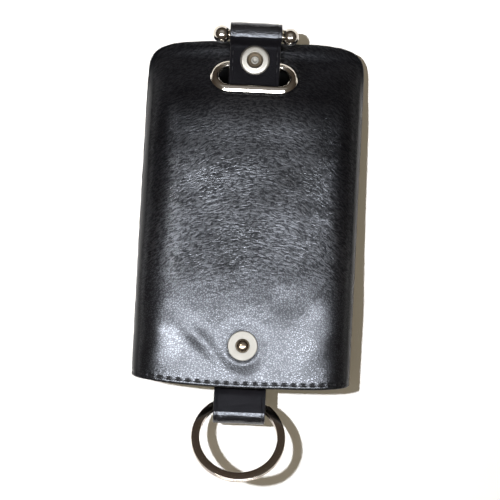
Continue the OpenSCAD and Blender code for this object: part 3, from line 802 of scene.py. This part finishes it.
def front_relief(c, x, y):
    """What is pressed and sewn into the front leather alone."""
    ring = rim_distance(c, x, y)
    stud = np.hypot(x, y - c.stud_y)
    rim = 0.08 * bump_at(ring - 3.0, 0.9) - 0.22 * bump_at(ring - 1.4, 0.6)
    press = -0.14 / (1 + np.exp((stud - 4.95) / 0.2)) + 0.09 * bump_at(stud - 6.0, 0.9)
    return seam_relief(c, True, x, y) + hem_relief(c, x, y) + rim + press


def back_relief(c, x, y):
    """The back lies on the ground, so its wear only goes inward."""
    calm = fade(seam_away(c, False, x, y), 1, 9) * fade(y - mouth_line(c, x), 1, 6)
    waves = 0.06 * (ripple(c.seed + 5, x, y, 12, 18) - 1)
    sewn = seam_relief(c, False, x, y) + 0.6 * hem_relief(c, x, y) * (1 - calm)
    return np.minimum(sewn + waves * calm, 0.02)


def lean(c, points):
    """The slight skew that a sewn pouch takes with use, away from its metal."""
    moved = np.array(points, float)
    x, y = moved[..., 0], moved[..., 1]
    up = (y - c.mouth_y) / c.pouch_l
    right, left = fade(x, 6, 29), fade(-x, 6, 29)
    top = fade(y, 25, 30) * fade(np.abs(x), 9, 12)
    low = 1 - fade(y, c.mouth_y, 25)
    dx = right * (0.05 + 1.1 * up) + left * 0.75 * up ** 2
    dy = top * (0.02 * x + 0.3 * (x / c.half_w) ** 2) - low * 0.75 * fade(x, 8, 27)
    moved[..., 0] += dx
    moved[..., 1] += dy
    return moved


def pouch_half(c, front, columns, body_rows, brim_rows):
    x, y = shell_grid(c, columns, body_rows, brim_rows, HEM_ROWS)
    kept = open_hole(c, x, y) if front else None
    past_turn = fade(y - mouth_line(c, x), c.turn_in, 0.6)
    turned = c.stack_t + SEAM_PLAY
    depth = turned - (turned - c.skin_t - SEAM_PLAY / 2) * past_turn
    relief = (front_relief if front else back_relief)(c, x, y)
    return shell_solid(c, front, x, y, relief, depth, 5, kept)


def lining_half(c, front):
    x, y = shell_grid(c, *LINING_GRID, c.turn_in + np.array((-0.6, 0.4, 2)))
    kept = open_hole(c, x, y) if front else None
    outer, inner = (np.full_like(x, depth) for depth in (-c.skin_t - LINING_PLAY, c.stack_t))
    return shell_solid(c, front, x, y, outer, inner, 0, kept)


def side_faces(c, points, faces):
    """1 for faces low on the sides, where the leather is duller, and 0 for the rest."""
    _, y, z = points[[face[0] for face in faces]].T
    low = seam_z(c, y)
    return (z - low < 0.55 * (crest(c, y) - low)).astype(int)


class KEYCASE_OT_pouch(bpy.types.Operator):
    """Front and back leather of the pouch, with the hem turned in at the mouth"""
    bl_idname = "keycase.pouch"
    bl_label = "Pouch leather"

    def execute(self, context):
        c = layout()
        front = pouch_half(c, True, *FRONT_GRID)
        make_piece("pouch_front", ["front_panel"], "pouch_leather",
                   ["grained_leather", "side_leather"], *front, "case",
                   zones=side_faces(c, *front))
        make_piece("pouch_back", ["back_panel"], "pouch_leather", ["side_leather"],
                   *pouch_half(c, False, *BACK_GRID), "case")
        return {"FINISHED"}


class KEYCASE_OT_lining(bpy.types.Operator):
    """Woven lining of both halves of the pouch"""
    bl_idname = "keycase.lining"
    bl_label = "Lining"

    def execute(self, context):
        c = layout()
        for front, name, node in ((True, "lining_over", "front_lining"),
                                  (False, "lining_under", "back_lining")):
            make_piece(name, [node], "lining", ["woven_lining"], *lining_half(c, front), "case")
        return {"FINISHED"}


class KEYCASE_OT_hem(bpy.types.Operator):
    """Hem stitches at the mouth and the stitches of the turned seam inside"""
    bl_idname = "keycase.hem"
    bl_label = "Hem and seam thread"

    def hem_run(self, c, front, x):
        """One slanted stitch that dives into the leather at both ends."""
        t = np.linspace(-1, 1, 11)
        px = x + t * c.hem_stitch / 2
        py = mouth_line(c, px) + c.hem_in - 0.36 * t
        normal = shell_normal(c, front, px, py)
        sink = (-0.08 if front else -0.26) - 0.42 * np.abs(t) ** 5
        if front:
            sink += front_form(c, px, py)
        surface = np.stack([px, py, shell_z(c, front, px, py)], -1)
        return lean(c, surface + sink[:, None] * normal), normal

    def seam_runs(self, c):
        """Stitches that follow the outline inside the lining."""
        stitch, pitch, knots = 2.4, 2.9, 7
        low = c.mouth_y + c.mouth_bow + 4
        side = np.stack([np.full(120, c.half_w), np.linspace(low, c.corner_y, 120)], -1)
        a = np.radians(np.linspace(0, 180, 400))
        turn = np.stack([c.half_w * np.sign(np.cos(a)) * np.abs(np.cos(a)) ** 0.5,
                         c.corner_y + c.corner_drop * np.sin(a) ** 0.5], -1)
        line = np.concatenate([side[:-1], turn, side[::-1][1:] * (-1, 1)])
        run = run_along(line)
        inset = c.stack_t + 0.75 - 0.25 * np.abs(np.linspace(-1, 1, knots)) ** 4
        runs = []
        for start in np.arange(0.4, run[-1] - 2.6, pitch):
            s = start + np.linspace(0, stitch, knots)
            x, y = np.interp(s, run, line[:, 0]), np.interp(s, run, line[:, 1])
            path = np.stack([x, y, seam_z(c, y)], -1) - inset[:, None] * outline_normal(c, x, y)
            runs.append((lean(c, path), np.tile((0.0, 0.0, 1.0), (knots, 1))))
        return runs

    def execute(self, context):
        c = layout()
        count = int((2 * c.half_w - 6.4) / c.hem_pitch)
        places = (np.arange(count) - (count - 1) / 2) * c.hem_pitch
        for front, name, node in ((True, "hem_thread_over", "hem_stitches_front"),
                                  (False, "hem_thread_under", "hem_stitches_back")):
            runs = [self.hem_run(c, front, x) for x in places]
            thread_piece(name, node, runs, HEM_THREAD, "case")
        thread_piece("seam_thread_inside", "seam_thread", self.seam_runs(c), SEAM_THREAD, "case")
        return {"FINISHED"}


# ---- Strap ----

def strap_line(c):
    """The middle of the strap's leather as a closed line: over the face, round the bar, back
    under the strap and round the key ring. Gives places, outward directions and run."""
    half = c.layer_t / 2
    root = np.array([c.arm_start, half])
    r = c.fold_r + half
    toward = np.array([c.bar_at, 0]) - root
    touch = math.degrees(math.atan2(-toward[1], -toward[0])
                         - math.acos(r / np.linalg.norm(toward)))
    head, slack = (c.bar_at, 0), (c.bar_at + FOLD_SLACK, 0)
    tail = c.tunnel_r + half
    corners = np.concatenate([
        [(-c.tail_start, half), root],
        arc(head, r, touch, 90, 12), arc(slack, r, 90, -90, 40), arc(head, r, -90, -touch, 12),
        [root * (1, -1), (-c.tail_start, -half), (-c.tunnel_start, -tail)],
        arc((-c.tunnel_turn, 0), tail, 270, 90, 40),
        [(-c.tunnel_start, tail), (-c.tail_start, half)],
    ])
    run = run_along(corners)
    spacing = 0.36
    count = int(run[-1] / spacing)
    s = np.arange(count) * run[-1] / count
    line = np.stack([np.interp(s, run, corners[:, k]) for k in (0, 1)], -1)
    for _ in range(10):
        line = (np.roll(line, 1, 0) + 2 * line + np.roll(line, -1, 0)) / 4
    ahead = unit(np.roll(line, -1, 0) - np.roll(line, 1, 0))
    return line, np.stack([-ahead[:, 1], ahead[:, 0]], -1), s


def strap_section(c):
    """Section of one leather layer: x across, and n from its middle outwards."""
    half_w, half_t, stitch = c.strap_w / 2, c.layer_t / 2, c.stitch_x
    x = np.array([0, 1.8, 3.6, 5.0, 6.0, stitch - 0.5, stitch - 0.28, stitch - 0.16, stitch,
                  stitch + 0.16, stitch + 0.28, half_w - 0.5])
    n = half_t - 0.06 * (x / half_w) ** 4 - 0.11 * bump_at(x - stitch, 0.19)
    corner = arc((half_w - 0.32, half_t - 0.37), 0.32, 90, 0, 6)
    under = [(half_w, -0.2), (half_w - 0.03, -half_t + 0.08), (half_w - 0.12, -half_t),
             (4.0, -half_t), (0, -half_t)]
    right = np.concatenate([np.stack([x, n], -1), corner, under])
    return np.concatenate([right, right[-2:0:-1] * (-1, 1)])


class KEYCASE_OT_strap(bpy.types.Operator):
    """The pull strap in one piece, folded round the bar and round the key ring"""
    bl_idname = "keycase.strap"
    bl_label = "Strap leather"

    def execute(self, context):
        c = layout()
        line, out, run = strap_line(c)
        section = strap_section(c)
        count, sides = len(run), len(section)
        head, tail = line[:, 0], -line[:, 0]
        stations = np.tile(section, (count, 1, 1))
        spread = fade(tail, c.tail_start - 2, 5) + fade(head, c.arm_start - 2, 4)
        stations[..., 0] *= 1 + 0.028 * spread[:, None]
        folded = fade(tail, c.tunnel_start + 1.5, 3) + fade(head, c.bar_at, 2)
        x, s = stations[..., 0], run[:, None]
        wear = 0.035 * ripple(c.seed + 11, x, s, 7, 9)
        crackle = (0.11 * ripple(c.seed + 12, x, s, 1.1, 0.75, 30)
                   + 0.08 * ripple(c.seed + 13, x, s, 3.0, 1.1, 30))
        calm = fade(c.strap_w / 2 - np.abs(x), 0.2, 0.8)
        beside = np.hypot(x, line[:, :1] - c.socket_up)
        press = -0.05 * bump_at(beside - c.socket_od / 2, 0.5) * (out[:, 1:] > 0.9)
        outer = stations[..., 1] > 0
        stations[..., 1] += outer * ((wear + crackle * folded[:, None]) * calm + press)

        across = np.tile((1.0, 0.0, 0.0), (count, 1))
        points = sweep(np.pad(line, ((0, 0), (1, 0))), across, np.pad(out, ((0, 0), (1, 0))),
                       stations)
        middle = section[:, 0] + np.roll(section[:, 0], -1)
        rim = np.abs(middle) / 2 > c.strap_w / 2 - 0.12
        bent = (head > c.bar_at - 1) | (tail > c.tunnel_turn - 0.7)
        piece = make_piece(
            "pull_strap", ["strap_face", "strap_backing", "head_face", "head_backing"],
            "strap_leather", ["smooth_leather", "painted_edge", "fold_leather"], points,
            tube_faces(count, sides, close=True), matrix=strap_frame(c), sharp=55,
            zones=np.where(rim[None], 1, 2 * bent[:, None]).ravel())
        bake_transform(piece)
        end_gap = 1.2
        self.rows(c, "strap_thread", "strap_stitches", "strap", end_gap - c.tail_start,
                  c.fold_at - end_gap)
        self.rows(c, "head_thread", "head_stitches", "head", c.head_low + end_gap, c.arm_start)
        return {"FINISHED"}

    def rows(self, c, name, node, body, low, high):
        """Edge stitches on both faces, each sunk at its ends."""
        half_stitch, knots = 0.92, 7
        count = int((high - low) / c.stitch_pitch)
        first = (low + high - count * c.stitch_pitch) / 2
        frame_here = strap_frame(c)
        turn, base = np.array(frame_here.to_3x3()), np.array(frame_here.translation)
        t = np.linspace(-1, 1, knots)
        runs = []
        for face in (1, -1):
            up = np.tile(turn @ (0, 0, face), (knots, 1))
            h = face * (c.layer_t - 0.12 - 0.2 * np.abs(t) ** 4)
            for x in (-c.stitch_x, c.stitch_x):
                for k in range(count):
                    a = first + k * c.stitch_pitch + (1 + t) * half_stitch
                    runs.append((np.stack([0 * t + x, a, h], -1) @ turn.T + base, up))
        thread_piece(name, node, runs, STRAP_THREAD, body, 7.0)


# ---- Metal ----

class KEYCASE_OT_eyelet(bpy.types.Operator):
    """Rounded oval rim of the eyelet"""
    bl_idname = "keycase.eyelet"
    bl_label = "Eyelet"

    def execute(self, context):
        c = layout()
        section = soften([(1.56, -0.05), (1.64, 0.36), (0.80, 1.15), (-0.25, 1.46),
                          (-1.04, 0.92), (-1.34, 0.15), (-1.28, -0.42), (-0.80, -1.08),
                          (0.02, -1.34), (0.02, -0.05)], 0.32, 6)
        bend, flat, half = 40, 10, c.rim_line_x
        end = arc((0, 0), 1, -90, 90, bend)
        along = np.linspace(half, -half, flat + 2)[1:-1]
        x = np.concatenate([np.full(bend, half), along, np.full(bend, -half), -along])
        away = np.concatenate([end, np.tile((0, 1), (flat, 1)), -end,
                               np.tile((0, -1), (flat, 1))])
        side = np.pad(away, ((0, 0), (0, 1)))
        path = side * c.rim_line_r
        path[:, 0] += x
        up = np.tile((0.0, 0.0, 1.0), (len(path), 1))
        stations = np.tile(section, (len(path), 1, 1))
        stations[..., 0] *= 1 + 0.22 * away[:, :1] ** 2 * (section[None, :, 0] < 0)
        make_piece("eyelet_frame", ["eyelet_rim"], "nickel", ["polished_nickel"],
                   sweep(path, side, up, stations),
                   tube_faces(len(path), len(section), close=True), "case",
                   tilted(c.eyelet_y, c.eyelet_z, -c.shoulder), sharp=50)
        return {"FINISHED"}


class KEYCASE_OT_snap(bpy.types.Operator):
    """Both halves of the press snap"""
    bl_idname = "keycase.snap"
    bl_label = "Press snap"

    def execute(self, context):
        c = layout()
        r = c.stud_od / 2
        knob = soften([(0, 2.05), (0.5, 2.02), (1.0, 1.92), (1.45, 1.73), (1.78, 1.46),
                       (1.95, 1.10), (1.95, 0.85), (1.80, 0.70), (1.78, 0.10), (2.2, 0.08)],
                      0.3)
        plate = soften([(2.2, 0.08), (2.2, 0.40), (2.40, 0.45), (4.40, 0.45), (4.64, 0.40),
                        (r, 0.2), (r - 0.02, -0.12), (0.8, -0.12), (0, -0.12)], 0.12)
        # The knob's neck and the well round it take the near-black finish, painted shade in the
        # recess; the dome and the flange keep their metal
        turned_piece(
            "stud_metal", "snap_stud", "snap_metal", ["knob_brass", "dull_brass", "flange_nickel"],
            np.concatenate([knob, plate[1:]]), "case", stud_frame(c),
            lambda radius, height: np.where(radius > 2.22, 2, height <= 0.75))

        r, t = c.socket_od / 2, c.layer_t
        cap = soften([(r - 0.15, t - 0.02), (r, t + 0.25), (r - 0.06, t + 0.66),
                      (r - 0.55, t + 0.98), (r - 1.1, t + 1.06), (3.02, t + 1.08),
                      (2.72, t + 1.12), (2.56, t + 1.0), (2.52, t + 0.62), (2.2, t + 0.58),
                      (2.2, t + 0.12), (0.8, t + 0.10), (0.8, t - 0.25), (2.95, t - 0.25),
                      (2.95, t - 0.02)], 0.12, closed=True)
        # The cap's inner recess takes the near-black finish, painted shade in the recess; the rim
        # keeps the snap metal
        turned_piece(
            "socket_metal", "snap_socket", "snap_metal", ["snap_nickel", "dull_brass"], cap,
            "head", strap_frame(c, c.socket_up),
            lambda radius, height: (radius < 2.45) & (height < t + 0.7), closed=True)

        rivet = soften([(0, 0.1 - t), (0.6, 0.1 - t), (1.1, -t), (4.2, -t), (4.48, 0.12 - t),
                        (4.48, 0.5 - t), (0.78, 0.5 - t), (0.78, t + 0.12), (1.26, t + 0.12),
                        (1.34, t + 0.34), (1.1, t + 0.56), (0.80, t + 0.52), (0.62, t + 0.30),
                        (0.3, t + 0.22), (0, t + 0.20)], 0.12)
        turned_piece("socket_post", "socket_rivet", "nickel", ["flange_nickel"], rivet, "head",
                     strap_frame(c, c.socket_up), turns=72)
        return {"FINISHED"}


class KEYCASE_OT_bar(bpy.types.Operator):
    """Two balls with their necks on the ends of the bar"""
    bl_idname = "keycase.bar"
    bl_label = "Bar and balls"

    def execute(self, context):
        c = layout()
        neck = 1.2
        start = math.degrees(math.asin(neck / c.ball_r))
        ball = arc((c.ball_x, 0), c.ball_r, 0, 180 - start, 40)
        neck_x = ball[-1, 0]
        collar = soften([(neck_x, neck), (neck_x - 0.12, neck + 0.02), (c.rod_half + 0.5, 1.6),
                         (c.rod_half + 0.2, 1.6), (c.rod_half + 0.02, 1.45),
                         (c.rod_half + 0.02, 0)], 0.16)
        profile = np.concatenate([ball, collar[1:]])[:, ::-1]
        for hand, side in (("right", 1), ("left", -1)):
            turn = strap_frame(c, c.bar_at) @ Matrix.Rotation(side * math.pi / 2, 4, "Y")
            turned_piece("ball_at_" + hand, "ball_" + hand, "nickel", ["polished_nickel"],
                         profile, "bar", turn)
        return {"FINISHED"}


class KEYCASE_OT_ring(bpy.types.Operator):
    """The key ring: one flat wire in two turns that cross over once"""
    bl_idname = "keycase.ring"
    bl_label = "Key ring"

    def execute(self, context):
        c = layout()
        w, t = c.wire_w / 2, c.wire_t / 2 - 0.012
        section = soften([(w, t), (-w, t), (-w, -t), (w, -t)], (0.3, 0.2, 0.2, 0.3), 6, True)
        section[:, 1] += 0.03 * np.sign(section[:, 1]) * (1 - (section[:, 0] / w) ** 2)
        upper_end, cross, steps = 52, 16, 230
        stop = 360 - cross
        turn = np.concatenate([np.linspace(0, stop, steps), stop + np.linspace(0, cross, 26)[1:],
                               360 + np.linspace(0, stop, steps)[1:]])
        height = c.wire_t / 2 * (1 - 2 * fade(turn, stop, cross))
        a = np.radians(upper_end - turn - 1.0)
        away = np.stack([np.cos(a), np.sin(a), 0 * a], -1)
        path = away * (c.ring_r - c.wire_w / 2)
        path[:, 2] = height
        up = np.tile((0.0, 0.0, 1.0), (len(a), 1))
        ends = np.clip(np.minimum(turn, turn[-1] - turn) / 1.2, 0, 1)
        blunt = 0.80 + 0.20 * np.sqrt(1 - (1 - ends) ** 2)
        points = sweep(path, away, up, section[None] * blunt[:, None, None])
        hinge = strap_frame(c, -c.hinge_at).translation
        where = tilted(hinge.y, hinge.z, -c.ring_tilt) @ Matrix.Translation((0, -c.ring_arm, 0))
        make_piece("split_ring", ["key_ring"], "ring_steel", ["ring_wire"], points,
                   tube_faces(len(a), len(section)), "ring", where, sharp=50)
        return {"FINISHED"}


class KEYCASE_OT_fittings(bpy.types.Operator):
    """Finishes for the plain metal that keeps its construction shape"""
    bl_idname = "keycase.fittings"
    bl_label = "Small fittings"

    def execute(self, context):
        look = finishes()
        for node, finish, slot in (("eyelet_washer", "polished_nickel", "nickel"),
                                   ("stud_rivet", "polished_nickel", "nickel"),
                                   ("bar_rod", "polished_nickel", "nickel"),
                                   ("socket_spring", "snap_nickel", "snap_metal")):
            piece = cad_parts[node]
            piece.data.materials.clear()
            piece.data.materials.append(look[finish])
        return {"FINISHED"}


# ---- Stage ----

FLOOR_GAP = 0.00004
FLOOR_GLOW = 0.10
BACK_SHARE, SPARK_SHARE = 0.028, 0.03
PICTURE_PX, FOCUS_PX = 500, 1205.9
CAMERA_PLACE, CAMERA_TURN = (-0.00696, -0.0119, 0.400), (-0.086, -1.195, 2.592)


def floor_finish():
    """Pale floor that is white to the eye and in reflections and still takes the shadow."""
    material = bpy.data.materials.new("pale_floor")
    f = Nodes(material)
    seen = f.add("LightPath", out="Is Camera Ray")
    for ray in ("Is Glossy Ray", "Is Transmission Ray"):
        seen = f.math("MAXIMUM", seen, f.add("LightPath", out=ray))
    paint = f.add("BsdfDiffuse", {"Color": (0.98, 0.96, 0.92, 1)})
    glow = f.add("Emission", {"Color": (1.0, 0.86, 0.55, 1),
                              "Strength": f.times(seen, FLOOR_GLOW)})
    f.put(f.node("OutputMaterial"), "Surface", f.add("AddShader", {0: paint, 1: glow}))
    return material


def area_lamp(name, place, target, size, power, rgb, roll=0.0, lights=False, mirrored=True):
    """An oval lamp aimed at a target and rolled about its axis, in degrees."""
    lamp = bpy.data.lights.new(name, "AREA")
    lamp.shape = "ELLIPSE"
    lamp.size, lamp.size_y = size
    lamp.energy = power
    lamp.color = rgb
    holder = bpy.data.objects.new(name, lamp)
    holder.visible_camera = False
    holder.visible_diffuse = lights
    holder.visible_glossy = mirrored
    bpy.context.scene.collection.objects.link(holder)
    aim = Vector(target) - Vector(place)
    holder.matrix_world = (
        Matrix.Translation(place) @ aim.to_track_quat("-Z", "Y").to_matrix().to_4x4()
        @ Matrix.Rotation(math.radians(roll), 4, "Z"))


def room_light():
    """A dim warm room, darker towards the horizon and lighter overhead; the camera sees it
    in the tone of the far floor."""
    world = bpy.data.worlds.new("room")
    bpy.context.scene.world = world
    f = Nodes(world)
    height = f.split(f.add("TexCoord", out="Generated"))[2]
    ramp = f.node("ValToRGB")
    f.put(ramp, 0, height)
    first, last = ramp.color_ramp.elements
    first.position, first.color = 0.35, (0.065, 0.050, 0.040, 1)
    last.position, last.color = 0.95, (0.165, 0.148, 0.128, 1)
    walls = f.add("Background", {"Color": ramp.outputs[0]})
    backdrop = f.add("Background", {"Color": (0.185, 0.155, 0.110, 1)})
    seen = f.add("LightPath", out="Is Camera Ray")
    both = f.add("MixShader", {0: seen, 1: walls, 2: backdrop})
    f.put(f.node("OutputWorld"), "Surface", both)


class KEYCASE_OT_stage(bpy.types.Operator):
    """Floor, lamps and the camera above the case"""
    bl_idname = "keycase.stage"
    bl_label = "Floor, lamps and camera"

    def execute(self, context):
        scene = context.scene
        stage = scene.key_case_stage
        side = stage.floor / 2
        mesh = bpy.data.meshes.new("floor")
        mesh.from_pydata([(-side, -side, 0), (side, -side, 0), (side, side, 0), (-side, side, 0)],
                         [], [(0, 1, 2, 3)])
        mesh.materials.append(floor_finish())
        floor = bpy.data.objects.new("floor", mesh)
        floor.location.z = -FLOOR_GAP
        scene.collection.objects.link(floor)

        case, cool = (0, 0, 0.01), (0.96, 0.98, 1.04)
        area_lamp("key_lamp", (-0.195, 0.042, 0.56), case, (0.022, 0.022), stage.key,
                  (0.98, 1.0, 1.06), lights=True, mirrored=False)
        area_lamp("sheen_lamp", (0.0, -0.155, 0.61), (0, -0.03, 0.01), (0.68, 0.14),
                  stage.sheen, cool, roll=7)
        area_lamp("back_lamp", (0.0, 0.30, 0.60), (0, 0.03, 0.01), (0.70, 0.40),
                  stage.sheen * BACK_SHARE, cool)
        area_lamp("spark_lamp", (-0.14, 0.03, 0.40), case, (0.02, 0.02),
                  stage.key * SPARK_SHARE, (1.0, 1.0, 1.0))
        room_light()

        camera = bpy.data.cameras.new("camera")
        camera.sensor_width = 36
        camera.lens = FOCUS_PX / PICTURE_PX * camera.sensor_width
        camera.clip_start = 0.01
        holder = bpy.data.objects.new("camera", camera)
        holder.location = CAMERA_PLACE
        holder.rotation_euler = [math.radians(v) for v in CAMERA_TURN]
        scene.collection.objects.link(holder)
        scene.camera = holder
        scene.view_settings.view_transform = "Standard"
        return {"FINISHED"}


class KEYCASE_PT_panel(bpy.types.Panel):
    """Sizes, colours and pieces of the key case"""
    bl_idname = "KEYCASE_PT_panel"
    bl_label = "Key case"
    bl_space_type = "VIEW_3D"
    bl_region_type = "UI"
    bl_category = "Key case"

    def draw(self, context):
        for name in GROUPS:
            box = self.layout.box()
            box.label(text=name.split("_")[-1].capitalize())
            values = getattr(context.scene, name)
            for field in values.__annotations__:
                box.prop(values, field)
        for step in STEPS:
            self.layout.operator("keycase." + step)


GROUPS = {"key_case_pouch": KeyCasePouch, "key_case_strap": KeyCaseStrap,
          "key_case_metal": KeyCaseMetal, "key_case_stage": KeyCaseStage}
STEPS = ("pouch", "lining", "hem", "strap", "eyelet", "snap", "bar", "ring", "fittings", "stage")
CLASSES = (*GROUPS.values(), KEYCASE_OT_pouch, KEYCASE_OT_lining, KEYCASE_OT_hem,
           KEYCASE_OT_strap, KEYCASE_OT_eyelet, KEYCASE_OT_snap, KEYCASE_OT_bar,
           KEYCASE_OT_ring, KEYCASE_OT_fittings, KEYCASE_OT_stage, KEYCASE_PT_panel)


def register():
    for cls in CLASSES:
        bpy.utils.register_class(cls)
    for name, group in GROUPS.items():
        setattr(bpy.types.Scene, name, PointerProperty(type=group))


def unregister():
    for name in GROUPS:
        delattr(bpy.types.Scene, name)
    for cls in reversed(CLASSES):
        bpy.utils.unregister_class(cls)


def main():
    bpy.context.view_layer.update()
    register()
    for step in STEPS:
        getattr(bpy.ops.keycase, step)()


if __name__ == "__main__":
    main()
